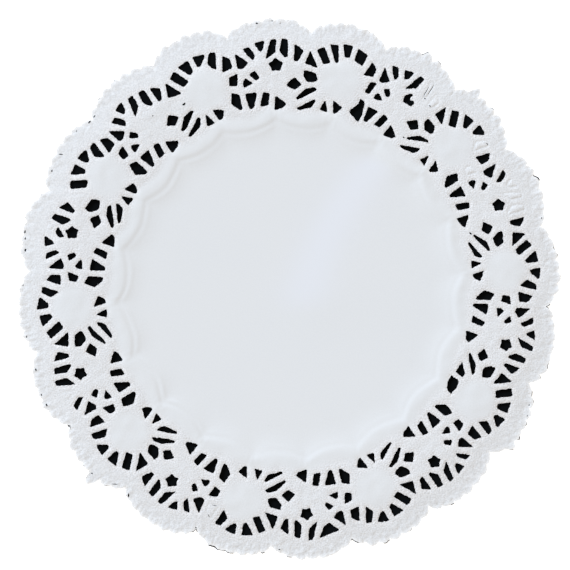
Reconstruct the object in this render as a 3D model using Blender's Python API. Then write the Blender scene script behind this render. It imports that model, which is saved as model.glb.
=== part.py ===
"""Round paper doily: one die-cut sheet with a plain middle and a lace border.

Metres, with +Z up. The sheet lies on z = 0 with its box centred on the origin. Angles are
degrees clockwise from +Y, as on a clock face seen from above. Radii start at the lace's centre.
The tables give millimetres on a doily of CHART_ACROSS, and every length scales with ACROSS.
"""
import math
from collections import namedtuple

import bpy

# Driving sizes, in metres.
ACROSS = 0.254
SHEET_THICKNESS = 0.001

CHART_ACROSS = 254.0
UNIT = ACROSS / CHART_ACROSS

REPEAT_DEGREES = 36.0
FIRST_AXIS = 13.0
PICOTS_PER_SCALLOP = 7
PICOT_HEIGHT = 1.2
NOTCH_DEPTH = 0.3
SCALLOP_FULLNESS = 2.8
CORNER_CUT = 0.6
EYELET_RADIUS = 3.0
EYELET_SIDES = 5

PAPER_COLOUR = (0.74, 0.77, 0.80, 1.0)
PAPER_ROUGHNESS = 0.85

# The holes of one repeat: a plain medallion on the repeat's axis and a five-petal flower 18
# degrees after it. Each row holds a hole's corners in clockwise order, each as degrees from the
# axis and millimetres from the centre.
HOLES = {
    # The fan of slots over the medallion.
    "fan_1": ((-8.4, 112.6), (-6.1, 104.8), (-9.6, 106.4)),
    "fan_2": ((-6.9, 113.3), (-5.3, 115.1), (-3.2, 108.2), (-4.9, 106.9)),
    "fan_3": ((-4.0, 116.3), (-1.3, 117.1), (-1.2, 111.7), (-2.1, 110.7)),
    "fan_4": ((0.1, 117.8), (2.4, 116.9), (2.7, 116.0), (1.0, 112.3), (0.3, 112.7)),
    "fan_5": ((3.9, 115.5), (5.3, 115.2), (4.1, 107.4), (2.7, 111.0)),
    "fan_6": ((6.7, 113.6), (8.2, 111.3), (8.2, 107.1), (5.6, 106.5)),
    # Its sides and the slots under it.
    "side_left": ((-10.1, 103.2), (-7.2, 102.2), (-6.4, 99.2), (-7.0, 98.1), (-9.0, 97.6), (-10.3, 100.8)),
    "side_right": ((6.8, 102.8), (9.1, 103.7), (8.3, 98.5), (6.5, 99.4)),
    "sash_upper": ((-11.6, 89.8), (-8.7, 94.5), (-6.2, 95.5), (-5.5, 94.7), (-9.6, 90.2), (-11.0, 89.2)),
    "sash_lower": ((-10.6, 86.1), (-5.3, 91.0), (-4.9, 90.2), (-5.8, 87.2), (-9.9, 85.3)),
    "foot_left": ((-2.8, 90.6), (-1.4, 85.3), (-4.0, 85.7)),
    "foot_right": ((-0.4, 91.2), (2.7, 89.1), (1.6, 86.0), (0.5, 85.3)),
    "hip": ((6.3, 95.6), (8.3, 93.9), (8.2, 87.2), (7.4, 86.9), (5.3, 90.7)),
    # The bars between the medallion and the flower.
    "post_outer": ((9.7, 113.1), (12.3, 107.8), (10.7, 105.6), (9.6, 106.1)),
    "post_middle": ((10.8, 100.8), (12.7, 98.1), (10.1, 97.0), (10.1, 99.2)),
    "post_inner": ((10.0, 93.6), (13.3, 93.3), (11.3, 86.4), (10.3, 86.6)),
    # The slots between the flower's petals.
    "petal_1": ((11.6, 114.6), (13.1, 114.9), (14.2, 110.8), (13.6, 108.8)),
    "petal_2": ((14.5, 116.2), (16.8, 117.2), (16.2, 113.4), (15.5, 112.2)),
    "petal_3": ((18.3, 117.3), (19.5, 117.2), (19.1, 111.5), (16.8, 108.7)),
    "petal_4": ((21.1, 116.5), (22.4, 115.9), (22.3, 108.1), (21.7, 107.9), (20.5, 110.9)),
    "petal_5": ((23.9, 114.9), (25.9, 112.0), (24.7, 107.3), (23.8, 107.3)),
    "petal_6": ((11.9, 103.6), (13.3, 105.1), (14.2, 102.0), (13.5, 100.9)),
    "petal_7": ((23.9, 99.4), (25.8, 96.4), (24.0, 93.7), (21.8, 95.9)),
    "petal_8": ((15.1, 93.2), (16.8, 92.3), (16.0, 86.9), (13.8, 86.8)),
    "petal_9": ((18.5, 90.7), (21.7, 87.1), (20.8, 85.5), (18.0, 84.5)),
}
EYELET_CENTRE = (19.15, 105.3)

# Holes that came out otherwise: two pairs that broke into one where the bar between them was cut
# away too, one that was cut at its inner end alone, and some smaller, longer or askew.
ODD_HOLES = {
    "foot_wide": ((-2.8, 89.8), (-0.8, 90.8), (2.2, 89.6), (1.3, 87.2), (-0.6, 85.6), (-3.0, 85.4)),
    "petal_wide": ((11.8, 115.1), (16.6, 117.2), (15.4, 112.4), (13.8, 110.2)),
    "sash_short": ((-8.3, 87.4), (-5.2, 91.1), (-4.0, 90.5), (-4.6, 86.6)),
    "petal_short": ((18.2, 112.8), (19.6, 112.4), (18.8, 110.3), (17.5, 108.4), (17.1, 110.4)),
    "fan_3_slim": ((-4.1, 116.7), (-2.1, 117.2), (-1.2, 108.7), (-2.2, 108.7)),
    "fan_4_near": ((-1.1, 118.0), (1.2, 118.2), (1.1, 112.6), (-0.1, 112.1)),
    "fan_5_outer": ((2.7, 117.6), (5.0, 116.0), (4.7, 110.2), (2.4, 111.9)),
    "side_slim": ((8.0, 104.6), (9.6, 105.0), (8.9, 98.9), (7.5, 99.1)),
    "hip_long": ((7.0, 95.9), (8.6, 94.6), (9.2, 88.7), (8.9, 84.9), (5.1, 88.3), (7.0, 93.1)),
}

# Each repeat sits a little off the even layout. It misses a few holes, which the die pressed but
# didn't cut through, or which are there as odd ones. Turn is in degrees clockwise, and push in
# millimetres outwards.
Repeat = namedtuple("Repeat", "turn push missing odd")
REPEATS = (
    Repeat(0.6, -0.3, ("fan_3", "fan_4", "fan_5", "side_right", "hip", "petal_4", "petal_5"),
           ("fan_3_slim", "fan_4_near", "fan_5_outer", "side_slim", "hip_long")),
    Repeat(0.0, 0.3, ("fan_5", "side_right", "petal_2", "petal_3", "petal_4"), ()),
    Repeat(-0.1, 0.6, (), ()),
    Repeat(-0.1, 0.4, ("foot_left", "foot_right", "sash_lower"), ("foot_wide", "sash_short")),
    Repeat(-0.55, 0.15, ("petal_1", "petal_2"), ("petal_wide",)),
    Repeat(-0.7, 0.0, ("fan_6",), ()),
    Repeat(-0.65, -0.6, ("petal_2",), ()),
    Repeat(0.4, 0.55, ("petal_3",), ("petal_short",)),
    Repeat(0.7, -1.0, ("fan_1", "eyelet"), ()),
    Repeat(0.35, 0.1, ("side_left",), ()),
)
# Holes that stand off their place, by repeat, as millimetres along and outwards.
STRAYS = {
    0: {"side_left": (1.0, 0.0), "sash_lower": (-1.0, -1.0), "post_outer": (0.5, 0.5),
        "post_middle": (0.5, 0.5), "petal_1": (-0.5, 1.0)},
    1: {"sash_lower": (-1.5, -1.0)},
    2: {"fan_1": (0.5, 1.0), "sash_lower": (1.0, 0.5), "post_inner": (-1.5, -0.5), "petal_7": (0.0, -1.0),
        "petal_8": (-1.0, -0.5), "eyelet": (0.5, -1.0), "petal_4": (0.5, -1.0), "petal_5": (0.0, -1.0)},
    3: {"fan_2": (0.0, 0.5), "sash_upper": (-0.5, -0.5)},
    4: {"sash_upper": (-0.5, 0.5), "post_outer": (0.5, 0.5), "petal_3": (-0.5, 0.5)},
    5: {"foot_right": (1.0, -0.5)},
    6: {"fan_1": (0.5, -1.0), "side_left": (0.0, -1.0), "petal_3": (0.5, 0.5)},
    8: {"sash_upper": (-1.5, -1.5), "petal_2": (-0.5, 1.0)},
    9: {"fan_5": (0.0, 1.0), "petal_6": (0.5, -1.5), "petal_4": (-0.5, 1.0)},
}

# The scallops of the edge, each from its valley over its crest to the next valley.
Scallop = namedtuple("Scallop", "valley_degrees valley_radius crest_degrees crest_radius")
SCALLOPS = (
    Scallop(5.0, 120.8, 14.0, 126.9),
    Scallop(22.0, 121.4, 30.4, 126.5),
    Scallop(39.8, 121.8, 47.0, 126.6),
    Scallop(57.0, 121.0, 66.5, 126.5),
    Scallop(76.0, 122.0, 85.5, 126.3),
    Scallop(93.8, 120.8, 103.5, 126.6),
    Scallop(111.3, 120.6, 122.5, 127.6),
    Scallop(129.0, 121.3, 139.5, 126.4),
    Scallop(147.2, 121.0, 156.5, 126.3),
    Scallop(165.8, 120.6, 174.0, 126.0),
    Scallop(184.0, 120.6, 192.5, 125.9),
    Scallop(201.2, 120.4, 210.0, 126.5),
    Scallop(219.6, 120.6, 228.5, 126.6),
    Scallop(238.2, 121.0, 247.4, 127.0),
    Scallop(256.0, 121.6, 265.0, 126.4),
    Scallop(274.0, 122.2, 284.2, 127.2),
    Scallop(292.4, 121.4, 299.5, 126.4),
    Scallop(310.8, 121.9, 319.5, 126.5),
    Scallop(328.6, 122.2, 337.2, 127.8),
    Scallop(346.2, 121.6, 355.2, 126.7),
)

# A picot's outline, each point as a share of its width and a share of its height.
PICOT_PROFILE = ((0.0, 0.0), (0.25, 0.75), (0.5, 1.0), (0.75, 0.75))

# Picots that stand out past their neighbours, as degrees and extra millimetres.
TALL_PICOTS = ((30.3, 1.2), (44.3, 2.4), (50.0, 1.4), (65.3, 0.3), (124.3, 1.2), (225.8, 4.6), (338.0, 0.8))


def on_sheet(degrees, radius):
    """The point at a clock angle and a radius in chart millimetres."""
    angle = math.radians(degrees)
    return (radius * math.sin(angle) * UNIT, radius * math.cos(angle) * UNIT)


def drift(degrees):
    """The turn and push at an angle, blended between the two nearest repeats."""
    along = (degrees - FIRST_AXIS) / REPEAT_DEGREES
    first = math.floor(along)
    share = along - first
    before = REPEATS[first % len(REPEATS)]
    after = REPEATS[(first + 1) % len(REPEATS)]
    turn = before.turn + (after.turn - before.turn) * share
    push = before.push + (after.push - before.push) * share
    return turn, push


def trimmed(corners):
    """A hole's outline with each sharp corner cut off, as paper fibres leave it."""
    outline = []
    for index, corner in enumerate(corners):
        for neighbour in (corners[index - 1], corners[(index + 1) % len(corners)]):
            side = math.dist(corner, neighbour)
            share = min(CORNER_CUT * UNIT / side, 0.4)
            outline.append(tuple(c + (n - c) * share for c, n in zip(corner, neighbour)))
    return outline


def hole_outline(axis, corners, stray):
    """A hole of the chart laid on the repeat that has this axis."""
    along, out = stray
    placed = []
    for degrees, radius in corners:
        turn, push = drift(axis + degrees)
        turn += math.degrees(along / radius)
        placed.append(on_sheet(axis + degrees + turn, radius + push + out))
    return trimmed(placed)


def eyelet_corners():
    """The flower's five-sided eyelet, one corner pointing outwards."""
    centre_degrees, centre_radius = EYELET_CENTRE
    corners = []
    for side in range(EYELET_SIDES):
        angle = math.tau * side / EYELET_SIDES
        sideways = math.degrees(EYELET_RADIUS * math.sin(angle) / centre_radius)
        corners.append((centre_degrees + sideways, centre_radius + EYELET_RADIUS * math.cos(angle)))
    return corners


def lace_holes():
    """The outlines of all the holes that are cut through, repeat after repeat."""
    chart = {**HOLES, **ODD_HOLES, "eyelet": eyelet_corners()}
    for index, repeat in enumerate(REPEATS):
        axis = FIRST_AXIS + REPEAT_DEGREES * index
        names = [*HOLES, "eyelet", *repeat.odd]
        strays = STRAYS.get(index, {})
        for name in names:
            if name not in repeat.missing:
                yield hole_outline(axis, chart[name], strays.get(name, (0.0, 0.0)))


def scallop_radius(scallop, following, degrees):
    """The radius of a scallop's line, between its valley and the following one."""
    next_valley = following.valley_degrees
    if next_valley < scallop.valley_degrees:
        next_valley += 360.0
    if degrees < scallop.crest_degrees:
        valley_degrees, valley_radius = scallop.valley_degrees, scallop.valley_radius
    else:
        valley_degrees, valley_radius = next_valley, following.valley_radius
    from_crest = (degrees - scallop.crest_degrees) / (valley_degrees - scallop.crest_degrees)
    return valley_radius + (scallop.crest_radius - valley_radius) * (1 - from_crest**SCALLOP_FULLNESS)


def edge_outline():
    """The doily's edge: scallops with a row of small picots along each."""
    outline = []
    for index, scallop in enumerate(SCALLOPS):
        following = SCALLOPS[(index + 1) % len(SCALLOPS)]
        span = (following.valley_degrees - scallop.valley_degrees) % 360.0
        pitch = span / PICOTS_PER_SCALLOP
        for picot in range(PICOTS_PER_SCALLOP):
            notch = scallop.valley_degrees + pitch * picot
            height = PICOT_HEIGHT
            for tip, extra in TALL_PICOTS:
                if notch <= tip < notch + pitch:
                    height += extra
            for across, rise in PICOT_PROFILE:
                degrees = notch + pitch * across
                radius = scallop_radius(scallop, following, degrees) - NOTCH_DEPTH
                outline.append(on_sheet(degrees, radius + height * rise))
    return outline


def paper():
    """Matt white paper."""
    material = bpy.data.materials.new("white_paper")
    material.use_nodes = True
    shader = material.node_tree.nodes["Principled BSDF"]
    shader.inputs["Base Color"].default_value = PAPER_COLOUR
    shader.inputs["Roughness"].default_value = PAPER_ROUGHNESS
    shader.inputs["Metallic"].default_value = 0.0
    return material


def flat_sheet(name, outlines, thickness, material):
    """A flat sheet on z = 0 from its outline and the outlines of its holes."""
    curve = bpy.data.curves.new(name, "CURVE")
    curve.dimensions = "2D"
    curve.fill_mode = "BOTH"
    curve.extrude = thickness / 2
    for outline in outlines:
        spline = curve.splines.new("POLY")
        spline.points.add(len(outline) - 1)
        for point, (x, y) in zip(spline.points, outline):
            point.co = (x, y, 0.0, 1.0)
        spline.use_cyclic_u = True
    curve.materials.append(material)
    sheet = bpy.data.objects.new(name, curve)
    sheet.location.z = thickness / 2
    return sheet


def main():
    for obj in list(bpy.data.objects):
        bpy.data.objects.remove(obj, do_unlink=True)
    collection = bpy.data.collections.new("paper_doily")
    bpy.context.scene.collection.children.link(collection)

    edge = edge_outline()
    sheet = flat_sheet("doily", [edge, *lace_holes()], SHEET_THICKNESS, paper())
    # The edge is uneven, so the middle of its box is a little off the lace's own centre.
    across = [x for x, _ in edge]
    along = [y for _, y in edge]
    sheet.location.x = -(min(across) + max(across)) / 2
    sheet.location.y = -(min(along) + max(along)) / 2
    collection.objects.link(sheet)


main()
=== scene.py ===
import math
from collections import namedtuple

import bpy
import numpy as np
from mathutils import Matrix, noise
from mathutils.geometry import delaunay_2d_cdt
from mathutils.kdtree import KDTree


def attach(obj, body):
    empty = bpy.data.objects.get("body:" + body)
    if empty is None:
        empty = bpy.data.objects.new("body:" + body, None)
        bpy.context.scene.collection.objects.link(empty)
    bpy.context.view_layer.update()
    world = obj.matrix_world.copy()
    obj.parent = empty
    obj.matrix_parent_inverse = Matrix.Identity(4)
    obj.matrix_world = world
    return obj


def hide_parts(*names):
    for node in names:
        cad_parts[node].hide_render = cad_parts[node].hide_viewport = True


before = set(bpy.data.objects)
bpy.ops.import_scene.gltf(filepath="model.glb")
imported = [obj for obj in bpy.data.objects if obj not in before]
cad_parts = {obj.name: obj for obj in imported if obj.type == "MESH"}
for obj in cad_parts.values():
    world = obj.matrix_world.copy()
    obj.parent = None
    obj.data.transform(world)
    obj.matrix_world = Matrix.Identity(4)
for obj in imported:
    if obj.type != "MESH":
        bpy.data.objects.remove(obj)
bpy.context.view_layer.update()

# The sheet's cut slots and eyelets.
# A paper doily is one thin sheet of bleached paper. A steel die stamps the lace slots, the
# eyelets and the scalloped edge out of it in one stroke, ten like repeats round a plain middle.

# Lengths are in millimetres, and angles in degrees clockwise from +Y, as seen from above.
MM = 0.001
REPEAT_DEGREES = 36.0
FIRST_AXIS = 13.0
# The lace's centre, off the middle of the whole sheet's box.
LACE_CENTRE = np.array((0.043, -0.168))
CORNER_ROUNDING = 0.7
CORNER_SHARE = 0.42
CORNER_STRAY = 0.10
CUT_SPACING = 0.85
CUT_RAGGEDNESS = 0.08

# One repeat: each hole's corners in clockwise order, as degrees from the medallion's axis and
# millimetres from the centre.
HOLES = {
    "fan_1": ((-8.4, 112.6), (-6.1, 104.8), (-9.6, 106.4)),
    "fan_2": ((-6.9, 113.3), (-5.3, 115.1), (-3.2, 108.2), (-4.9, 106.9)),
    "fan_3": ((-4.0, 116.3), (-1.3, 117.1), (-1.2, 111.7), (-2.1, 110.7)),
    "fan_4": ((0.1, 117.8), (2.4, 116.9), (2.7, 116.0), (1.0, 112.3), (0.3, 112.7)),
    "fan_5": ((3.9, 115.5), (5.3, 115.2), (4.1, 107.4), (2.7, 111.0)),
    "fan_6": ((6.7, 113.6), (8.2, 111.3), (8.2, 107.1), (5.6, 106.5)),
    "side_left": (
        (-10.1, 103.2), (-7.2, 102.2), (-6.4, 99.2), (-7.0, 98.1), (-9.0, 97.6), (-10.3, 100.8)
    ),
    "side_right": ((6.8, 102.8), (9.1, 103.7), (8.3, 98.5), (6.5, 99.4)),
    "sash_upper": ((-11.6, 89.8), (-8.7, 94.5), (-6.2, 95.5), (-5.5, 94.7), (-9.6, 90.2), (-11.0, 89.2)),
    "sash_lower": ((-10.6, 86.1), (-5.3, 91.0), (-4.9, 90.2), (-5.8, 87.2), (-9.9, 85.3)),
    "foot_left": ((-2.8, 90.6), (-1.4, 85.3), (-4.0, 85.7)),
    "foot_right": ((-0.4, 91.2), (2.7, 89.1), (1.6, 86.0), (0.5, 85.3)),
    "hip": ((6.3, 95.6), (8.3, 93.9), (8.2, 87.2), (7.4, 86.9), (5.3, 90.7)),
    "post_outer": ((9.7, 113.1), (12.3, 107.8), (10.7, 105.6), (9.6, 106.1)),
    "post_middle": ((10.8, 100.8), (12.7, 98.1), (10.1, 97.0), (10.1, 99.2)),
    "post_inner": ((10.0, 93.6), (13.3, 93.3), (11.3, 86.4), (10.3, 86.6)),
    "petal_1": ((11.6, 114.6), (13.1, 114.9), (14.2, 110.8), (13.6, 108.8)),
    "petal_2": ((14.5, 116.2), (16.8, 117.2), (16.2, 113.4), (15.5, 112.2)),
    "petal_3": ((18.3, 117.3), (19.5, 117.2), (19.1, 111.5), (16.8, 108.7)),
    "petal_4": ((21.1, 116.5), (22.4, 115.9), (22.3, 108.1), (21.7, 107.9), (20.5, 110.9)),
    "petal_5": ((23.9, 114.9), (25.9, 112.0), (24.7, 107.3), (23.8, 107.3)),
    "petal_6": ((11.9, 103.6), (13.3, 105.1), (14.2, 102.0), (13.5, 100.9)),
    "petal_7": ((23.9, 99.4), (25.8, 96.4), (24.0, 93.7), (21.8, 95.9)),
    "petal_8": ((15.1, 93.2), (16.8, 92.3), (16.0, 86.9), (13.8, 86.8)),
    "petal_9": ((18.5, 90.7), (21.7, 87.1), (20.8, 85.5), (18.0, 84.5)),
}
# The flower's eyelet is a blunt star. One has its scrap of paper stuck in it from the side.
# Its points are millimetres along and outwards from its centre.
EYELET_CENTRE = (19.15, 105.3)
EYELET_POINT_RADIUS = 3.4
EYELET_DIP_RADIUS = 2.3
EYELETS = {
    "eyelet": tuple(
        (radius * math.sin(math.tau * corner / 10), radius * math.cos(math.tau * corner / 10))
        for corner, radius in enumerate((EYELET_POINT_RADIUS, EYELET_DIP_RADIUS) * 5)
    ),
    "eyelet_torn": (
        (-0.6, 3.2), (0.3, 2.4), (-0.4, 1.4), (-0.1, 0.4), (0.9, -0.1), (1.7, 0.5),
        (2.9, -0.3), (2.3, -2.6), (0.2, -2.3), (-2.1, -2.5), (-2.9, 0.3), (-1.9, 1.6),
    ),
}
for name, spots in EYELETS.items():
    HOLES[name] = tuple(
        (EYELET_CENTRE[0] + math.degrees(along / EYELET_CENTRE[1]), EYELET_CENTRE[1] + out)
        for along, out in spots
    )
# Holes that came out otherwise: two pairs that tore into one, one that was cut at its inner end
# alone and only pressed at its outer end, and some that came out smaller, longer or askew.
ODD_HOLES = {
    "foot_wide": ((-2.8, 89.8), (-0.8, 90.8), (2.2, 89.6), (1.3, 87.2), (-0.6, 85.6), (-3.0, 85.4)),
    "petal_wide": ((11.8, 115.1), (16.6, 117.2), (15.4, 112.4), (13.8, 110.2)),
    "sash_short": ((-8.3, 87.4), (-5.2, 91.1), (-4.0, 90.5), (-4.6, 86.6)),
    "petal_short": ((18.2, 112.8), (19.6, 112.4), (18.8, 110.3), (17.5, 108.4), (17.1, 110.4)),
    "petal_tip": ((18.4, 117.6), (19.7, 117.3), (19.6, 114.4), (18.4, 114.5)),
    "petal_slim": ((21.3, 118.0), (22.1, 117.8), (22.3, 109.8), (21.6, 109.5)),
    "fan_3_slim": ((-4.1, 116.7), (-2.1, 117.2), (-1.2, 108.7), (-2.2, 108.7)),
    "fan_4_near": ((-1.1, 118.0), (1.2, 118.2), (1.1, 112.6), (-0.1, 112.1)),
    "fan_5_outer": ((2.7, 117.6), (5.0, 116.0), (4.7, 110.2), (2.4, 111.9)),
    "side_slim": ((8.0, 104.6), (9.6, 105.0), (8.9, 98.9), (7.5, 99.1)),
    "hip_long": ((7.0, 95.9), (8.6, 94.6), (9.2, 88.7), (8.9, 84.9), (5.1, 88.3), (7.0, 93.1)),
    "eyelet_torn": HOLES.pop("eyelet_torn"),
}

# Each repeat's turn in degrees, its push outwards, how much wider its cuts came out, how firmly its
# swags are pressed, the holes that are pressed but not cut with how hard they are pressed, and the
# odd holes in place of others.
Repeat = namedtuple("Repeat", "turn push wider swags pressed hardness replaced odd")
REPEATS = (
    Repeat(0.6, -0.3, 0.10, 0.65, ("petal_slim", "petal_5"), 0.7,
           ("fan_3", "fan_4", "fan_5", "side_right", "hip", "petal_4", "eyelet"),
           ("fan_3_slim", "fan_4_near", "fan_5_outer", "side_slim", "hip_long", "eyelet_torn")),
    Repeat(0.0, 0.3, 0.01, 0.65, ("fan_5", "side_right", "petal_2", "petal_3", "petal_4"), 1.0, (), ()),
    Repeat(-0.1, 0.6, 0.0, 0.65, (), 0.0, (), ()),
    Repeat(-0.1, 0.4, 0.03, 0.7, (), 0.0,
           ("foot_left", "foot_right", "sash_lower"), ("foot_wide", "sash_short")),
    Repeat(-0.55, 0.15, 0.01, 0.65, (), 0.0, ("petal_1", "petal_2"), ("petal_wide",)),
    Repeat(-0.7, 0.0, 0.04, 0.45, ("fan_6",), 0.5, (), ()),
    Repeat(-0.65, -0.6, 0.05, 1.2, ("petal_2",), 0.5, (), ()),
    Repeat(0.4, 0.55, 0.10, 1.2, ("petal_tip",), 0.6, ("petal_3",), ("petal_short",)),
    Repeat(0.7, -1.0, 0.19, 0.8, ("fan_1", "eyelet"), 0.4, (), ()),
    Repeat(0.35, 0.1, 0.25, 0.85, ("side_left",), 0.4, (), ()),
)
# Slots that stand off their place, by repeat, as millimetres along and outwards.
STRAYS = {
    0: {"side_left": (1.0, 0.0), "sash_lower": (-1.0, -1.0), "post_outer": (0.5, 0.5),
        "post_middle": (0.5, 0.5), "petal_1": (-0.5, 1.0)},
    1: {"sash_lower": (-1.5, -1.0)},
    2: {"fan_1": (0.5, 1.0), "sash_lower": (1.0, 0.5), "post_inner": (-1.5, -0.5),
        "petal_7": (0.0, -1.0), "petal_8": (-1.0, -0.5), "eyelet": (0.5, -1.0),
        "petal_4": (0.5, -1.0), "petal_5": (0.0, -1.0)},
    3: {"fan_2": (0.0, 0.5), "sash_upper": (-0.5, -0.5)},
    4: {"sash_upper": (-0.5, 0.5), "post_outer": (0.5, 0.5), "petal_3": (-0.5, 0.5)},
    5: {"foot_right": (1.0, -0.5)},
    6: {"fan_1": (0.5, -1.0), "side_left": (0.0, -1.0), "petal_3": (0.5, 0.5)},
    8: {"sash_upper": (-1.5, -1.5), "petal_2": (-0.5, 1.0)},
    9: {"fan_5": (0.0, 1.0), "petal_6": (0.5, -1.5), "petal_4": (-0.5, 1.0)},
}


def on_sheet(degrees, radius):
    """Points from clock angles and radii, about the lace's centre."""
    angle = np.radians(degrees)
    return np.stack((radius * np.sin(angle), radius * np.cos(angle)), axis=-1)


def blended(values, degrees):
    """The repeats' values at these angles, blended from each repeat to the next."""
    along = (np.asarray(degrees, float) - FIRST_AXIS) / REPEAT_DEGREES
    first = np.floor(along).astype(int)
    before = np.array(values)[first % len(REPEATS)]
    after = np.array(values)[(first + 1) % len(REPEATS)]
    return before + (after - before) * (along - first)


def drift(degrees):
    """How far the lace is turned and pushed out at these angles."""
    return blended([r.turn for r in REPEATS], degrees), blended([r.push for r in REPEATS], degrees)


def rounded(corners):
    """A hole's outline with rounded corners and a point every CUT_SPACING along its sides.

    A corner's rounding takes at most CORNER_SHARE of the sides beside it.
    """
    outline = []
    for index, corner in enumerate(corners):
        before, after = corners[index - 1], corners[(index + 1) % len(corners)]
        reach = [min(CORNER_ROUNDING, CORNER_SHARE * math.dist(corner, end)) for end in (before, after)]
        start = corner + (before - corner) * reach[0] / math.dist(corner, before)
        end = corner + (after - corner) * reach[1] / math.dist(corner, after)
        for t in (0.0, 0.5, 1.0):
            outline.append((1 - t) ** 2 * start + 2 * t * (1 - t) * corner + t**2 * end)
        straight = math.dist(end, after) - reach[1]
        steps = int(straight / CUT_SPACING)
        for step in range(1, steps + 1):
            outline.append(end + (after - end) / math.dist(end, after) * straight * step / (steps + 1))
    return np.array(outline)


def shifted(line, distance):
    """A closed line moved sideways, inwards where the distance is below zero."""
    along = np.roll(line, -1, axis=0) - np.roll(line, 1, axis=0)
    out = np.stack((-along[:, 1], along[:, 0]), axis=-1) / np.hypot(*along.T)[:, None]
    return line + out * distance


def lace_lines():
    """The outlines of the cut slots and eyelets, and of those left uncut with their hardness."""
    stray = np.random.default_rng(5)
    cut, pressed, hardness = [], [], []
    for index, repeat in enumerate(REPEATS):
        for name, corners in {**HOLES, **ODD_HOLES}.items():
            degrees, radii = np.array(corners, float).T
            degrees = degrees + FIRST_AXIS + REPEAT_DEGREES * index
            turn, push = drift(degrees)
            along, out = STRAYS.get(index, {}).get(name, (0.0, 0.0))
            places = on_sheet(degrees + turn + np.degrees(along / radii), radii + push + out)
            outline = rounded(places + stray.normal(0.0, CORNER_STRAY, places.shape))
            if name in repeat.pressed:
                pressed.append(outline)
                hardness.append(repeat.hardness)
            elif name in repeat.odd or not (name in ODD_HOLES or name in repeat.replaced):
                raggedness = stray.normal(0.0, CUT_RAGGEDNESS, outline.shape)
                cut.append(shifted(outline, repeat.wider) + raggedness)
    return cut, pressed, hardness


slot_lines, pressed_lines, pressed_hardness = lace_lines()

# The sheet's edge.
# The same die cuts the edge in twenty scallops, each with seven small rounded picots. The soft
# paper tears a little as it leaves the die, so the picots are ragged and no two are alike.
Scallop = namedtuple("Scallop", "valley_degrees valley_radius crest_degrees crest_radius")
SCALLOPS = (
    Scallop(5.0, 120.8, 14.0, 126.9),
    Scallop(22.0, 121.4, 30.4, 126.5),
    Scallop(39.8, 121.8, 47.0, 126.6),
    Scallop(57.0, 121.0, 66.5, 126.5),
    Scallop(76.0, 122.0, 85.5, 126.3),
    Scallop(93.8, 120.8, 103.5, 126.6),
    Scallop(111.3, 120.6, 122.5, 127.6),
    Scallop(129.0, 121.3, 139.5, 126.4),
    Scallop(147.2, 121.0, 156.5, 126.3),
    Scallop(165.8, 120.6, 174.0, 126.0),
    Scallop(184.0, 120.6, 192.5, 125.9),
    Scallop(201.2, 120.4, 210.0, 126.5),
    Scallop(219.6, 120.6, 228.5, 126.6),
    Scallop(238.2, 121.0, 247.4, 127.0),
    Scallop(256.0, 121.6, 265.0, 126.4),
    Scallop(274.0, 122.2, 284.2, 127.2),
    Scallop(292.4, 121.4, 299.5, 126.4),
    Scallop(310.8, 121.9, 319.5, 126.5),
    Scallop(328.6, 122.2, 337.2, 127.8),
    Scallop(346.2, 121.6, 355.2, 126.7),
)
SCALLOP_FULLNESS = 2.8
PICOTS_PER_SCALLOP = 7
PICOT_POINTS = 8
PICOT_HEIGHT = 1.2
PICOT_ROUNDNESS = 0.8
PICOT_UNEVENNESS = (0.5, 1.4)
NOTCH_DEPTH = 0.3
FRAY = 0.16
# Picots that stand out past their neighbours, and by how much.
TallPicot = namedtuple("TallPicot", "degrees extra")
TALL_PICOTS = (
    TallPicot(30.3, 1.2), TallPicot(44.3, 2.4), TallPicot(50.0, 1.4), TallPicot(65.3, 0.3),
    TallPicot(124.3, 1.2), TallPicot(225.8, 4.6), TallPicot(338.0, 0.8),
)


def scallop_line(scallop, following, degrees):
    """The radius of a scallop's line, between its valley and the following one."""
    next_valley = scallop.valley_degrees + (following.valley_degrees - scallop.valley_degrees) % 360.0
    rising = degrees < scallop.crest_degrees
    valley_degrees = np.where(rising, scallop.valley_degrees, next_valley)
    valley_radius = np.where(rising, scallop.valley_radius, following.valley_radius)
    from_crest = (degrees - scallop.crest_degrees) / (valley_degrees - scallop.crest_degrees)
    return valley_radius + (scallop.crest_radius - valley_radius) * (1 - from_crest**SCALLOP_FULLNESS)


def edge_tables():
    """Angles over the whole turn, and the ragged edge's radius at each."""
    uneven = np.random.default_rng(7)
    angles, radii = [], []
    for index, scallop in enumerate(SCALLOPS):
        following = SCALLOPS[(index + 1) % len(SCALLOPS)]
        pitch = ((following.valley_degrees - scallop.valley_degrees) % 360.0) / PICOTS_PER_SCALLOP
        for picot in range(PICOTS_PER_SCALLOP):
            across = np.arange(PICOT_POINTS) / PICOT_POINTS
            degrees = scallop.valley_degrees + pitch * (picot + across)
            height = PICOT_HEIGHT * uneven.uniform(*PICOT_UNEVENNESS)
            for tall in TALL_PICOTS:
                height += tall.extra * (degrees[0] <= tall.degrees < degrees[0] + pitch)
            notched = scallop_line(scallop, following, degrees) - NOTCH_DEPTH
            fray = uneven.normal(0.0, FRAY, PICOT_POINTS)
            angles.append(degrees)
            radii.append(notched + height * np.sin(math.pi * across) ** PICOT_ROUNDNESS + fray)
    return np.concatenate(angles), np.concatenate(radii)


EDGE_DEGREES, EDGE_RADII = edge_tables()
edge_line = on_sheet(EDGE_DEGREES, EDGE_RADII)


def edge_radius(degrees):
    """The edge's radius at any angles."""
    return np.interp(degrees, EDGE_DEGREES, EDGE_RADII, period=360.0)


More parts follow.
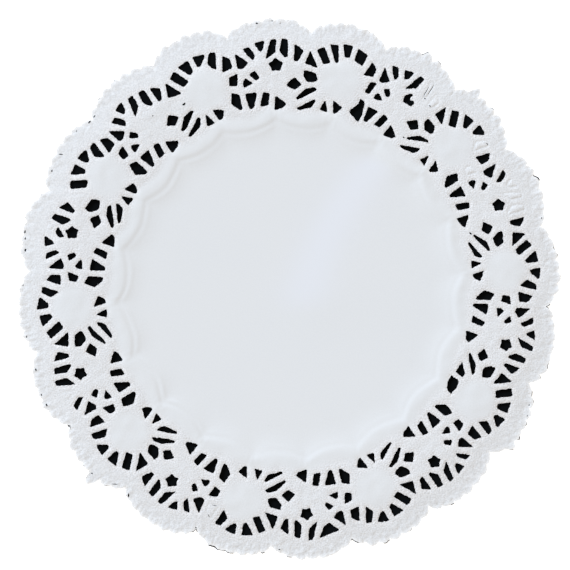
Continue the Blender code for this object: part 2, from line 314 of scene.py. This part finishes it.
# The die's pins and nicks.
# Along the edge the die's worn pins go right through here and there. A few of its rules nick the
# paper in a short line, and leave a thin slit along a pressed slot.
Pinhole = namedtuple("Pinhole", "degrees radius across")
PINHOLES = (
    Pinhole(35.4, 109.7, 0.50), Pinhole(37.0, 89.1, 0.62), Pinhole(37.5, 108.3, 0.60),
    Pinhole(53.7, 115.1, 0.50), Pinhole(74.2, 123.0, 0.50), Pinhole(115.7, 124.9, 0.52),
    Pinhole(117.9, 126.4, 0.45), Pinhole(182.1, 121.8, 0.48), Pinhole(201.3, 120.9, 0.62),
    Pinhole(227.0, 126.2, 0.60), Pinhole(244.5, 125.7, 0.90), Pinhole(246.9, 126.1, 0.56),
    Pinhole(252.4, 124.4, 0.68), Pinhole(259.8, 124.9, 0.54), Pinhole(270.9, 124.6, 0.50),
    Pinhole(278.5, 124.8, 0.82), Pinhole(280.9, 125.8, 0.66), Pinhole(282.3, 126.8, 0.84),
    Pinhole(296.6, 124.2, 0.64), Pinhole(306.7, 124.2, 0.42), Pinhole(310.0, 122.0, 1.10),
    Pinhole(311.6, 122.0, 0.80), Pinhole(321.9, 103.3, 0.46), Pinhole(330.6, 99.7, 1.00),
    Pinhole(353.1, 125.6, 0.70), Pinhole(356.4, 126.1, 0.45), Pinhole(358.1, 124.8, 0.42),
)
PINHOLE_LENGTHENING = 1.8
PINHOLE_FROM_EDGE = 0.25
PINHOLE_SIDES = 7
PINHOLE_RAGGEDNESS = (0.6, 1.35)
# Each nick's two ends, as degrees and millimetres from the centre, and how wide it gapes.
Nick = namedtuple("Nick", "first_degrees first_radius last_degrees last_radius width")
NICKS = (
    Nick(72.4, 88.5, 73.3, 89.4, 0.85),
    Nick(218.3, 121.4, 217.6, 123.1, 0.75),
    Nick(222.5, 123.6, 221.2, 121.2, 0.42),
    Nick(238.3, 120.4, 237.4, 121.6, 0.28),
    Nick(300.9, 123.2, 300.4, 125.3, 0.52),
)
NICK_POINTS = 5
# The thin slits: each one's pressed slot by number, and its start and end as shares of the slot's
# outline.
Slit = namedtuple("Slit", "slot start end")
SLITS = (Slit(1, 0.1, 0.48), Slit(1, 0.55, 0.95), Slit(7, 0.03, 0.17), Slit(7, 0.5, 0.66))
SLIT_WIDTH = 0.3
SLIT_INSET = 0.1


def pinhole(pin, ragged):
    """A ragged oval pinhole, longer along the edge and kept inside it."""
    half_across = pin.across / 2 * ragged.uniform(*PINHOLE_RAGGEDNESS, PINHOLE_SIDES)
    outermost = edge_radius(pin.degrees) - half_across.max() - PINHOLE_FROM_EDGE
    radius = min(pin.radius, outermost)
    angle = np.arange(PINHOLE_SIDES) / PINHOLE_SIDES * math.tau
    sideways = np.degrees(half_across * PINHOLE_LENGTHENING * np.cos(angle) / radius)
    return on_sheet(pin.degrees + sideways, radius + half_across * np.sin(angle))


def sliver(spine, width):
    """A long thin opening with pointed ends along a line of points."""
    along = np.gradient(spine, axis=0)
    out = np.stack((along[:, 1], -along[:, 0]), axis=-1) / np.hypot(*along.T)[:, None]
    fullness = np.sin(math.pi * np.linspace(0.0, 1.0, len(spine)))[:, None] * width / 2
    return np.concatenate((spine + out * fullness, (spine - out * fullness)[-2:0:-1]))


def slit_line(slit):
    """A sliver along part of a pressed slot's outline, a little inside it."""
    line = pressed_lines[slit.slot]
    line = line + (line.mean(axis=0) - line) * SLIT_INSET
    places = np.linspace(slit.start, slit.end, NICK_POINTS + 2) * len(line)
    steps = np.arange(len(line) + 1)
    closed = np.concatenate((line, line[:1]))
    spine = np.stack([np.interp(places, steps, closed[:, axis]) for axis in (0, 1)], axis=-1)
    return sliver(spine, SLIT_WIDTH)


ragged = np.random.default_rng(13)
small_lines = [pinhole(pin, ragged) for pin in PINHOLES]
for nick in NICKS:
    nick_degrees = np.linspace(nick.first_degrees, nick.last_degrees, NICK_POINTS)
    nick_radii = np.linspace(nick.first_radius, nick.last_radius, NICK_POINTS)
    small_lines.append(sliver(on_sheet(nick_degrees, nick_radii), nick.width))
small_lines += [slit_line(slit) for slit in SLITS]
hole_lines = slot_lines + small_lines

# The sheet's mesh.
# The paper is about 0.12 mm thick. It is a net of triangles: wide in the plain middle, in rows
# along the pressed swags round it, even in the lace and finest in the rim.
SWAG_DEGREES = 18.0
SWAG_CUSP_RADIUS = 80.5
SWAG_BELLY_RADIUS = 76.5
SWAG_ROW_FROM = -4.6
SWAG_ROWS = 20
SWAG_ROW_STEP = 0.5
SWAG_ROW_SPACING = 1.2
MIDDLE_SPACING = 3.5
LACE_SPACING = 1.0
RIM_SPACING = 0.76
RIM_FROM_RADIUS = 117.5
OUTERMOST = 131.0
CLEAR_INSIDE_ROWS = 1.2
CLEAR_OUTSIDE_ROWS = 0.6
CLEAR_OF_RIM = 0.4
CLEAR_OF_CUTS = 0.48
SAMPLES_PER_SIDE = 4
WELDED_WITHIN = 1e-6
TRIANGLE_HEIGHT = math.sqrt(0.75)
CREASE_WIDTH = 0.42
PAPER_THICKNESS = 0.12
SHARP_DEGREES = 50.0


def triangle_lattice(spacing):
    """Points on an even triangular lattice, out past the sheet's edge."""
    rows = int(OUTERMOST / (spacing * TRIANGLE_HEIGHT)) + 1
    columns = int(OUTERMOST / spacing) + 2
    row, column = np.mgrid[-rows:rows + 1, -columns:columns + 1].reshape(2, -1)
    return np.stack(((column + 0.5 * (row % 2)) * spacing, row * spacing * TRIANGLE_HEIGHT), axis=-1)


def distances(points, lines):
    """Each point's distance to the nearest of these closed lines."""
    samples = []
    for line in lines:
        following = np.roll(line, -1, axis=0)
        for share in np.arange(SAMPLES_PER_SIDE) / SAMPLES_PER_SIDE:
            samples.append(line + (following - line) * share)
    samples = np.concatenate(samples)
    tree = KDTree(len(samples))
    for index, (x, y) in enumerate(samples):
        tree.insert((x, y, 0.0), index)
    tree.balance()
    return np.array([tree.find((x, y, 0.0))[2] for x, y in points])


def inside(points, line):
    """Which of the points lie inside a closed line."""
    x, y = points.T
    crossings = np.zeros(len(points), int)
    for (ax, ay), (bx, by) in zip(line, np.roll(line, -1, axis=0)):
        spans = (ay > y) != (by > y)
        if spans.any():
            crossings += spans & (x < (bx - ax) * (y - ay) / (by - ay) + ax)
    return crossings % 2 == 1


def clock(points):
    """The points' clock angles in degrees and their radii."""
    return np.degrees(np.arctan2(points[:, 0], points[:, 1])) % 360.0, np.hypot(*points.T)


def swag_radius(degrees):
    """The radius of the swagged line round the middle."""
    turn, push = drift(degrees)
    along = ((degrees - turn - FIRST_AXIS) / SWAG_DEGREES) % 1.0
    return SWAG_BELLY_RADIUS + (SWAG_CUSP_RADIUS - SWAG_BELLY_RADIUS) * (2.0 * along - 1.0) ** 2 + push


def sheet_points():
    """The net's loose points, well clear of each other and of the cuts."""
    last_row = SWAG_ROW_FROM + SWAG_ROW_STEP * (SWAG_ROWS - 1)
    middle = triangle_lattice(MIDDLE_SPACING)
    degrees, radius = clock(middle)
    middle = middle[radius - swag_radius(degrees) < SWAG_ROW_FROM - CLEAR_INSIDE_ROWS]
    lace = triangle_lattice(LACE_SPACING)
    degrees, radius = clock(lace)
    past_rows = radius - swag_radius(degrees) > last_row + CLEAR_OUTSIDE_ROWS
    lace = lace[past_rows & (radius < RIM_FROM_RADIUS - CLEAR_OF_RIM)]
    rim = triangle_lattice(RIM_SPACING)
    degrees, radius = clock(rim)
    rim = rim[(radius > RIM_FROM_RADIUS) & (radius < edge_radius(degrees))]
    bands = [middle, lace, rim]
    for row in range(SWAG_ROWS):
        degrees = np.arange(0.0, 360.0, SWAG_ROW_SPACING) + SWAG_ROW_SPACING / 2 * (row % 2)
        bands.append(on_sheet(degrees, swag_radius(degrees) + SWAG_ROW_FROM + SWAG_ROW_STEP * row))
    loose = np.concatenate(bands)
    return loose[distances(loose, seam_lines) > CLEAR_OF_CUTS]


crease_sides = (-CREASE_WIDTH, 0.0, CREASE_WIDTH)
crease_lines = [shifted(line, side) for line in pressed_lines for side in crease_sides]
seam_lines = [edge_line, *hole_lines, *crease_lines]
points = [*sheet_points()]
seams = []
for line in seam_lines:
    first = len(points)
    points += [*line]
    seams += [(first + n, first + (n + 1) % len(line)) for n in range(len(line))]
net, _, faces, *_ = delaunay_2d_cdt([tuple(p) for p in points], seams, [], 0, WELDED_WITHIN)
net = np.array([tuple(p) for p in net])
faces = np.array(faces)
middles = net[faces].mean(axis=1)
kept = inside(middles, edge_line)
for line in hole_lines:
    low, high = line.min(axis=0), line.max(axis=0)
    near = np.nonzero(((middles > low) & (middles < high)).all(axis=1) & kept)[0]
    kept[near[inside(middles[near], line)]] = False
used, faces = np.unique(faces[kept], return_inverse=True)
net, faces = net[used], faces.reshape(-1, 3)

# The pressed relief.
# As the die cuts, its felt-backed counterpart presses the paper. The border rises from the middle
# over a ridge and a step, the bars are crowned, and the rim is ribbed, beaded and droops.

# Each rise's place and width are measured outwards from the swagged line.
Rise = namedtuple("Rise", "middle width height")
RISES = (Rise(-3.5, 13.0, 0.45), Rise(4.6, 3.0, -0.05), Rise(8.2, 3.0, 0.12))
STEP = Rise(0.1, 2.1, 0.20)
RIDGE = Rise(-2.5, 1.05, 0.08)
# At the swags' cusps the ridge is flatter, and short ticks run out over the step.
CUSP_DEGREES = 1.6
CUSP_FLATTENING = 0.6
TICK_HEIGHT = 0.05
TICK_DEGREES = 1.8
TICKED_DEGREES = 2.6
TICK_MIDDLE = 2.0
TICK_LENGTH = 2.0
# The swagged lines waver, and they are pressed unevenly.
WAVER = 0.6
WAVER_SIZE = 8.0
PATCHY = 0.4
PATCH_SIZE = 12.0
# The bars between the cuts are crowned. A slot that was only pressed is a crumpled pad in a crease.
BAR_CROWN = 0.16
CROWN_REACH = 0.7
CREASE_DEPTH = 0.14
PAD_CROWN = 0.12
PAD_SHOULDER = 1.2
PAD_MARGIN = 1.0
CRUMPLE = 0.16
# The lace is softly lumpy from the swagged line outwards, and it droops towards the rim.
LACE_FROM = 1.0
LACE_FADE = 4.0
LACE_LUMP_SIZE = 4.5
LACE_LUMP_HEIGHT = 0.10
DROOP_FROM_RADIUS = 104.0
DROOP_ACROSS = 24.0
DROOP = 1.15
# Along the rim each picot has ribs and a bead, and there are small lumps between them.
RIM_WIDTH = 5.0
RIM_FADE = 2.0
RIB_HEIGHT = 0.04
FINE_RIB_HEIGHT = 0.06
FINE_RIBS_PER_PICOT = 2.6
FINE_RIB_WAVER = 2.0
BEAD_HEIGHT = 0.09
BEAD_INSET = 0.9
BEAD_SPREAD = 0.7
BEAD_SHARPNESS = 4
LUMP_SIZE = 1.6
LUMP_HEIGHT = 0.17
LUMPS_WITHIN = 9.0
LUMPS_FADE = 5.0
LUMPS_OFF_EDGE = 1.5
# The medallions are slightly domed, and shallow grooves part the flower's five petals.
MEDALLION_RADIUS = 101.2
MEDALLION_ACROSS = 20.4
MEDALLION_DOME = 0.08
FLOWER_CENTRE = (18.2, 99.6)
PETAL_DEGREES = 72.0
PETAL_GROOVE = 0.10
PETAL_GROOVE_WIDTH = 0.9
PETAL_GROOVE_REACH = (1.6, 6.2)
PETAL_GROOVE_FADES = (1.0, 2.0)
# A soft step crosses the middle, where the paper was lifted off the stack. Its line leaves the X
# axis at the offset, leans and bows to the right from there, and fades out at both ends.
SHEEN_OFFSET = 8.5
SHEEN_LEAN = 0.28
SHEEN_BOW = 0.0042
SHEEN_SLANT = 0.86
SHEEN_WIDTH = 22.0
SHEEN_SPAN = (-14.0, 66.0)
SHEEN_FADES = (14.0, 8.0)
SHEEN_OFF_SWAGS = 6.0
SHEEN_RISE = 0.26
SHEEN_RISE_FADE = 30.0
SHEEN_RETURN = 60.0


def smooth_step(value):
    """A soft rise from 0 to 1, as the value goes from 0 to 1."""
    value = np.clip(value, 0.0, 1.0)
    return value * value * (3.0 - 2.0 * value)


def bell(offset, width):
    """A soft hump, 1 in its middle and nearly flat two widths off."""
    return np.exp(-((offset / width) ** 2))


def unevenness(points, size):
    """Soft lumps of about this size, from -1 to 1."""
    return np.array([noise.noise((x / size, y / size, 0.5)) for x, y in points])


def around_repeats(degrees, radius, centre_degrees, centre_radius):
    """Places about the same spot of each repeat, along and outwards."""
    turn, push = drift(degrees)
    half = REPEAT_DEGREES / 2
    from_spot = (degrees - turn - FIRST_AXIS - centre_degrees + half) % REPEAT_DEGREES - half
    return on_sheet(from_spot, radius - push) - on_sheet(0.0, centre_radius)


net_degrees, net_radius = clock(net)
from_slots = distances(net, slot_lines)
from_edge = edge_radius(net_degrees) - net_radius
lumps = unevenness(net, LUMP_SIZE)

from_swag = net_radius - swag_radius(net_degrees) + WAVER * unevenness(net, WAVER_SIZE)
from_cusp = (net_degrees - drift(net_degrees)[0] - FIRST_AXIS + SWAG_DEGREES / 2) % SWAG_DEGREES
from_cusp -= SWAG_DEGREES / 2
firmness = blended([r.swags for r in REPEATS], net_degrees)
firmness *= 1.0 + PATCHY * unevenness(net, PATCH_SIZE)
height = sum(rise.height * smooth_step((from_swag - rise.middle) / rise.width + 0.5) for rise in RISES)
height += STEP.height * smooth_step((from_swag - STEP.middle) * firmness / STEP.width + 0.5)
ridge = RIDGE.height * firmness**2 * bell(from_swag - RIDGE.middle, RIDGE.width)
height += ridge * (1.0 - CUSP_FLATTENING * bell(from_cusp, CUSP_DEGREES))
ticks = np.cos(math.tau * from_cusp / TICK_DEGREES) * bell(from_cusp, TICKED_DEGREES)
height += TICK_HEIGHT * ticks * bell(from_swag - TICK_MIDDLE, TICK_LENGTH)

height -= BAR_CROWN * np.exp(-from_slots / CROWN_REACH)
for line, hardness in zip(pressed_lines, pressed_hardness):
    low, high = line.min(axis=0) - PAD_MARGIN, line.max(axis=0) + PAD_MARGIN
    near = np.nonzero(((net > low) & (net < high)).all(axis=1))[0]
    from_line = distances(net[near], [line])
    height[near] -= CREASE_DEPTH * hardness * np.clip(1.0 - from_line / CREASE_WIDTH, 0.0, 1.0)
    on_pad = hardness * smooth_step(from_line / PAD_SHOULDER) * inside(net[near], line)
    height[near] += (PAD_CROWN + CRUMPLE * lumps[near]) * on_pad

in_lace = smooth_step((from_swag - LACE_FROM) / LACE_FADE)
height += LACE_LUMP_HEIGHT * in_lace * unevenness(net, LACE_LUMP_SIZE)
height -= DROOP * smooth_step((net_radius - DROOP_FROM_RADIUS) / DROOP_ACROSS)

in_rim = smooth_step((RIM_WIDTH - from_edge) / RIM_FADE)
picot_numbers = np.arange(len(EDGE_DEGREES)) / PICOT_POINTS
picot_number = np.interp(net_degrees, EDGE_DEGREES, picot_numbers, period=360.0)
fine_ribs = FINE_RIBS_PER_PICOT * math.tau * picot_number + FINE_RIB_WAVER * lumps
height -= RIB_HEIGHT * in_rim * np.cos(math.tau * picot_number + lumps)
height += FINE_RIB_HEIGHT * in_rim * np.cos(fine_ribs)
beads = bell(from_edge - BEAD_INSET, BEAD_SPREAD) * np.sin(math.pi * picot_number) ** BEAD_SHARPNESS
height += BEAD_HEIGHT * beads
lumpy = smooth_step((LUMPS_WITHIN - from_edge) / LUMPS_FADE) * smooth_step(from_edge / LUMPS_OFF_EDGE)
height += LUMP_HEIGHT * lumpy * lumps

spot = around_repeats(net_degrees, net_radius, 0.0, MEDALLION_RADIUS)
across = np.clip(np.hypot(*spot.T) / (MEDALLION_ACROSS / 2), 0.0, 1.0)
height += MEDALLION_DOME * (1.0 - across**2) ** 2

spot = around_repeats(net_degrees, net_radius, *FLOWER_CENTRE)
reach = np.hypot(*spot.T)
petal = np.degrees(np.arctan2(spot[:, 0], spot[:, 1])) / PETAL_DEGREES
groove = bell((petal - np.round(petal)) * math.radians(PETAL_DEGREES) * reach, PETAL_GROOVE_WIDTH)
near, far = PETAL_GROOVE_REACH
near_fade, far_fade = PETAL_GROOVE_FADES
groove *= smooth_step((reach - near) / near_fade) * smooth_step((far - reach) / far_fade)
height -= PETAL_GROOVE * groove

x, y = net.T
sideways = (x - (SHEEN_OFFSET + SHEEN_LEAN * y + SHEEN_BOW * y * y)) * SHEEN_SLANT
low, high = SHEEN_SPAN
low_fade, high_fade = SHEEN_FADES
# This mask also lays a painted bluish sheen into the paper's colour along the lit side of the step.
sheen = bell(sideways, SHEEN_WIDTH / 2)
sheen *= smooth_step((y - low) / low_fade) * smooth_step((high - y) / high_fade)
sheen *= smooth_step((SWAG_BELLY_RADIUS - net_radius) / SHEEN_OFF_SWAGS)
lifted = smooth_step(sideways / SHEEN_WIDTH + 0.5) * np.exp(-np.clip(sideways, 0.0, None) / SHEEN_RETURN)
lifted *= smooth_step((y - low) / SHEEN_RISE_FADE + 0.5) * (1.0 - in_lace)
height += SHEEN_RISE * lifted
height += PAPER_THICKNESS - height.min()

# How each place of the sheet is finished: painted light where the thin paper runs out to its torn
# edge, as if light shone up through it, and a painted highlight along the bars beside the cuts;
# grainy in the lace, with a painted speckle of shade and highlight, and smooth in the middle; and a
# painted bluish sheen along the soft step.
PAINTED_EDGE_LIGHT_WIDTH = 1.1
BAR_PAINTED_HIGHLIGHT = 0.22
BAR_LINE = 1.0
BAR_LINE_WIDTH = 0.5
PLAIN_GRAIN = 0.05
MEDALLION_GRAIN = 0.12
MEDALLION_FADE = 0.3
LACE_GRAIN = 0.36
LACE_GRAIN_FROM = 4.0
BAR_GRAIN = 1.0
BAR_GRAIN_REACH = 1.5

lace_grain = LACE_GRAIN + (BAR_GRAIN - LACE_GRAIN) * np.exp(-from_slots / BAR_GRAIN_REACH)
grainy = smooth_step((from_swag - LACE_GRAIN_FROM) / LACE_FADE)
grainy *= 1.0 - (1.0 - MEDALLION_GRAIN) * smooth_step((1.0 - across) / MEDALLION_FADE)
on_bar_highlight = bell(from_slots - BAR_LINE, BAR_LINE_WIDTH)
finish = {
    "painted_edge_light": bell(np.clip(from_edge, 0.0, None), PAINTED_EDGE_LIGHT_WIDTH) + BAR_PAINTED_HIGHLIGHT * on_bar_highlight,
    "grain_and_painted_speckle": PLAIN_GRAIN + (lace_grain - PLAIN_GRAIN) * grainy,
    "painted_sheen": sheen,
}

sheet_mesh = bpy.data.meshes.new("doily_sheet")
placed = np.column_stack((net + LACE_CENTRE, height)) * MM
sheet_mesh.from_pydata(placed.tolist(), [], faces.tolist())
for name, values in finish.items():
    attribute = sheet_mesh.attributes.new(name, "FLOAT", "POINT")
    attribute.data.foreach_set("value", values.astype(np.float32))
sheet = bpy.data.objects.new("doily_sheet", sheet_mesh)
bpy.context.scene.collection.objects.link(sheet)
solid = sheet.modifiers.new("paper_thickness", "SOLIDIFY")
solid.thickness = PAPER_THICKNESS * MM
solid.offset = -1.0
sheet_mesh = bpy.data.meshes.new_from_object(sheet.evaluated_get(bpy.context.evaluated_depsgraph_get()))
sheet.modifiers.clear()
sheet.data = sheet_mesh
sheet_mesh.shade_smooth()
sheet_mesh.set_sharp_from_angle(angle=math.radians(SHARP_DEGREES))
print("doily_sheet triangles", sum(len(p.vertices) - 2 for p in sheet_mesh.polygons))


# The paper itself.
# Bleached machine-made paper, uncoated and calendered: a cool white, matt, with a faint sheen.
# Pressing roughens it in the lace, where short fibres stand up and catch the light as a stipple; there
# a painted speckle of shade and highlight is mixed into its colour as well.
def linear(hex_colour):
    """An sRGB hex colour as linear values."""
    values = [int(hex_colour[n:n + 2], 16) / 255 for n in (1, 3, 5)]
    return (*((v / 12.92 if v <= 0.04045 else ((v + 0.055) / 1.055) ** 2.4) for v in values), 1.0)


def add_node(tree, kind, settings, links):
    """A node with its settings and with what feeds its sockets."""
    node = tree.nodes.new(kind)
    for name, value in settings.items():
        if isinstance(name, int) or name in node.inputs:
            node.inputs[name].default_value = value
        else:
            setattr(node, name, value)
    for name, source in links.items():
        tree.links.new(source, node.inputs[name])
    return node


PAPER_WHITE = "#e9ebed"
PAPER_CLOUD = "#e7eaed"
# A painted speckle: shade between the raised fibres and highlight on them.
PAINTED_SPECKLE_SHADE = "#d5d5d7"
PAINTED_SPECKLE_HIGHLIGHT = "#f7f6f7"
# A painted sheen: the bluish tint laid along the lit side of the soft step.
PAINTED_SHEEN_BLUE = "#e9ecf2"
# Painted light at the torn edge and a painted highlight along the bars, nearly white.
PAINTED_EDGE_LIGHT = "#fdfdfd"
PAPER_IOR = 1.45
PAPER_ROUGHNESS = (0.66, 0.82)
CLOUD_SIZE = 45.0
# Real fibres are about 0.03 mm wide, and real stipple is half as coarse as this. Neither would show
# from above.
FIBRE_SIZE = 0.45
FIBRE_DEPTH = 0.18
STIPPLE_SIZE = 0.75
STIPPLE_DEPTH = 0.35
SPECKLE_SIZE = 0.7
SPECKLE_CONTRAST = 0.13

paper = bpy.data.materials.new("calendered_paper")
paper.use_nodes = True
tree = paper.node_tree
shader = tree.nodes["Principled BSDF"]
shader.inputs["IOR"].default_value = PAPER_IOR
place = add_node(tree, "ShaderNodeTexCoord", {}, {}).outputs["Object"]
grain_and_painted_speckle = add_node(tree, "ShaderNodeAttribute", {"attribute_name": "grain_and_painted_speckle"}, {}).outputs["Fac"]
painted_sheen = add_node(tree, "ShaderNodeAttribute", {"attribute_name": "painted_sheen"}, {}).outputs["Fac"]
painted_edge_light = add_node(tree, "ShaderNodeAttribute", {"attribute_name": "painted_edge_light"}, {}).outputs["Fac"]

cloud = add_node(
    tree, "ShaderNodeTexNoise", {"Scale": 1 / (CLOUD_SIZE * MM), "Detail": 1.0}, {"Vector": place}
)
colour = add_node(
    tree,
    "ShaderNodeMix",
    {"data_type": "RGBA", 6: linear(PAPER_WHITE), 7: linear(PAPER_CLOUD)},
    {0: cloud.outputs["Fac"]},
)
# The painted speckle of shade and highlight, mixed into the colour as strongly as the lace is grainy.
speckle = add_node(
    tree, "ShaderNodeTexNoise", {"Scale": 1 / (SPECKLE_SIZE * MM), "Detail": 1.0}, {"Vector": place}
)
speckle_highlight_share = add_node(
    tree,
    "ShaderNodeMapRange",
    {"From Min": 0.5 - SPECKLE_CONTRAST, "From Max": 0.5 + SPECKLE_CONTRAST},
    {"Value": speckle.outputs["Fac"]},
)
pressed = add_node(
    tree,
    "ShaderNodeMix",
    {"data_type": "RGBA", 6: linear(PAINTED_SPECKLE_SHADE), 7: linear(PAINTED_SPECKLE_HIGHLIGHT)},
    {0: speckle_highlight_share.outputs["Result"]},
)
colour = add_node(
    tree, "ShaderNodeMix", {"data_type": "RGBA"}, {0: grain_and_painted_speckle, 6: colour.outputs[2], 7: pressed.outputs[2]}
)
# Painted light goes into the colour last: the bluish painted sheen along the soft step, then the painted
# light at the torn edge and the painted highlight along the bars.
for share, end_colour in ((painted_sheen, PAINTED_SHEEN_BLUE), (painted_edge_light, PAINTED_EDGE_LIGHT)):
    colour = add_node(
        tree,
        "ShaderNodeMix",
        {"data_type": "RGBA", 7: linear(end_colour)},
        {0: share, 6: colour.outputs[2]},
    )
tree.links.new(colour.outputs[2], shader.inputs["Base Color"])

fibre = add_node(
    tree, "ShaderNodeTexNoise", {"Scale": 1 / (FIBRE_SIZE * MM), "Detail": 3.0}, {"Vector": place}
)
stipple = add_node(
    tree, "ShaderNodeTexNoise", {"Scale": 1 / (STIPPLE_SIZE * MM), "Detail": 1.5}, {"Vector": place}
)
roughness = add_node(
    tree,
    "ShaderNodeMapRange",
    {"To Min": PAPER_ROUGHNESS[0], "To Max": PAPER_ROUGHNESS[1]},
    {"Value": fibre.outputs["Fac"]},
)
tree.links.new(roughness.outputs["Result"], shader.inputs["Roughness"])
fibre_bump = add_node(
    tree,
    "ShaderNodeBump",
    {"Distance": FIBRE_DEPTH * MM},
    {"Strength": grain_and_painted_speckle, "Height": fibre.outputs["Fac"]},
)
stipple_bump = add_node(
    tree,
    "ShaderNodeBump",
    {"Distance": STIPPLE_DEPTH * MM},
    {"Strength": grain_and_painted_speckle, "Height": stipple.outputs["Fac"], "Normal": fibre_bump.outputs["Normal"]},
)
tree.links.new(stipple_bump.outputs["Normal"], shader.inputs["Normal"])
sheet_mesh.materials.append(paper)

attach(sheet, "root")
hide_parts("doily")

# The floor and the black card.
# The doily lies on a white surface. A sheet of black card just under its lace, roughly cut to its
# outline, makes the slots and some notches of the edge read black, as in the photograph.
FLOOR_ACROSS = 4000.0
FLOOR_DROP = 0.30
CARD_DROP = 0.10
CARD_INSET = 0.30
CARD_STRAY = 0.9
CARD_STRAY_SIZE = 3.0
# Where the card was left standing out: degrees, degrees to each side and millimetres past the edge.
CardCorner = namedtuple("CardCorner", "degrees half_degrees out")
CARD_CORNERS = (
    CardCorner(30.0, 0.6, 0.52), CardCorner(65.7, 0.9, 0.70), CardCorner(82.7, 0.4, 0.25),
    CardCorner(93.7, 0.6, 0.62), CardCorner(106.5, 0.7, 0.34), CardCorner(109.2, 0.4, 0.28),
    CardCorner(113.2, 0.7, 0.36), CardCorner(119.6, 0.5, 0.28), CardCorner(122.9, 0.5, 0.45),
    CardCorner(125.7, 0.4, 0.28), CardCorner(142.7, 0.5, 0.40), CardCorner(153.0, 0.4, 0.27),
    CardCorner(158.8, 0.9, 0.42), CardCorner(165.3, 0.9, 0.60), CardCorner(180.0, 0.7, 0.33),
    CardCorner(185.7, 0.5, 0.50), CardCorner(193.2, 1.6, 0.35), CardCorner(196.4, 1.4, 0.64),
    CardCorner(201.3, 0.7, 0.56), CardCorner(328.4, 0.4, 0.30),
)
CARD_CORNER_SQUARENESS = 4
CARD_PAST_HOLES = 0.15
CARD_BESIDE_HOLES = 0.2
CARD_STEP = 0.08
# Uncoated board and card are quite matt. The board glows a little, so that it reads as plain white
# right up to the sheet, and the card swallows the light.
WHITE_BOARD = "#f4f4f4"
BLACK_CARD = "#101214"
BOARD_GLOW = 0.8
BOARD_ROUGHNESS = 0.95


def flat_piece(name, outline, level, material):
    """A flat piece from its outline, at a level."""
    mesh = bpy.data.meshes.new(name)
    mesh.from_pydata([(x * MM, y * MM, level * MM) for x, y in outline], [], [range(len(outline))])
    mesh.materials.append(material)
    piece = bpy.data.objects.new(name, mesh)
    bpy.context.scene.collection.objects.link(piece)


def plain_material(name, colour, glow=0.0):
    """A matt material with no gloss, and a glow of its own where it is given one."""
    material = bpy.data.materials.new(name)
    material.use_nodes = True
    shader = material.node_tree.nodes["Principled BSDF"]
    shader.inputs["Base Color"].default_value = linear(colour)
    shader.inputs["Roughness"].default_value = BOARD_ROUGHNESS
    shader.inputs["Specular IOR Level"].default_value = 0.0
    shader.inputs["Emission Color"].default_value = (1.0, 1.0, 1.0, 1.0)
    shader.inputs["Emission Strength"].default_value = glow
    return material


half = FLOOR_ACROSS / 2
flat_piece(
    "white_floor",
    [(-half, -half), (half, -half), (half, half), (-half, half)],
    -FLOOR_DROP,
    plain_material("white_board", WHITE_BOARD, BOARD_GLOW),
)
card_degrees = np.arange(0.0, 360.0, CARD_STEP)
card_out = CARD_STRAY * unevenness(on_sheet(card_degrees, OUTERMOST), CARD_STRAY_SIZE) - CARD_INSET
for corner in CARD_CORNERS:
    aside = np.clip(np.abs(card_degrees - corner.degrees) / corner.half_degrees, 0.0, 1.0)
    corner_out = corner.out * (1.0 - aside**CARD_CORNER_SQUARENESS)
    card_out = np.where(aside < 1.0, np.maximum(card_out, corner_out), card_out)
card_reach = edge_radius(card_degrees) + card_out
for line in small_lines:
    degrees, radii = clock(line)
    beside = card_degrees > degrees.min() - CARD_BESIDE_HOLES
    beside &= card_degrees < degrees.max() + CARD_BESIDE_HOLES
    card_reach[beside] = np.maximum(card_reach[beside], radii.max() + CARD_PAST_HOLES)
card_outline = on_sheet(card_degrees, card_reach)[::-1] + LACE_CENTRE
flat_piece("black_card", card_outline, -CARD_DROP, plain_material("black_card", BLACK_CARD))

# Lights and camera.
# Soft warm light fills the scene, and cooler daylight comes low from the upper left, so that the
# relief shades towards the lower right. The camera looks straight down.
FRAME_PIXELS = 570
PIXEL = 0.4686
LACE_CENTRE_PIXEL = (289.0, 289.5)
CAMERA_HEIGHT = 1200.0
SENSOR = 36.0
KEY_COLOUR = "#d7eaff"
KEY_LIGHT = 0.56
KEY_ELEVATION = 28.0
KEY_TOWARDS = 315.0
KEY_SPREAD = 18.0
FILL_COLOUR = "#fff1df"
FILL_LIGHT = 0.549

world = bpy.data.worlds.new("soft_fill")
world.use_nodes = True
sky = world.node_tree.nodes["Background"]
sky.inputs["Color"].default_value = linear(FILL_COLOUR)
sky.inputs["Strength"].default_value = FILL_LIGHT
bpy.context.scene.world = world

key = bpy.data.lights.new("low_daylight", "SUN")
key.color = linear(KEY_COLOUR)[:3]
key.angle = math.radians(KEY_SPREAD)
key.energy = KEY_LIGHT * math.pi / math.sin(math.radians(KEY_ELEVATION))
key_object = bpy.data.objects.new("low_daylight", key)
key_object.rotation_euler = (math.radians(90.0 - KEY_ELEVATION), 0.0, math.radians(180.0 - KEY_TOWARDS))
bpy.context.scene.collection.objects.link(key_object)

camera = bpy.data.cameras.new("overhead")
camera.sensor_width = SENSOR
camera.lens = SENSOR * CAMERA_HEIGHT / (FRAME_PIXELS * PIXEL)
camera_object = bpy.data.objects.new("overhead", camera)
camera_object.location = (
    (LACE_CENTRE[0] + (FRAME_PIXELS / 2 - LACE_CENTRE_PIXEL[0]) * PIXEL) * MM,
    (LACE_CENTRE[1] + (LACE_CENTRE_PIXEL[1] - FRAME_PIXELS / 2) * PIXEL) * MM,
    CAMERA_HEIGHT * MM,
)
bpy.context.scene.collection.objects.link(camera_object)
bpy.context.scene.camera = camera_object
bpy.context.scene.view_settings.view_transform = "Standard"
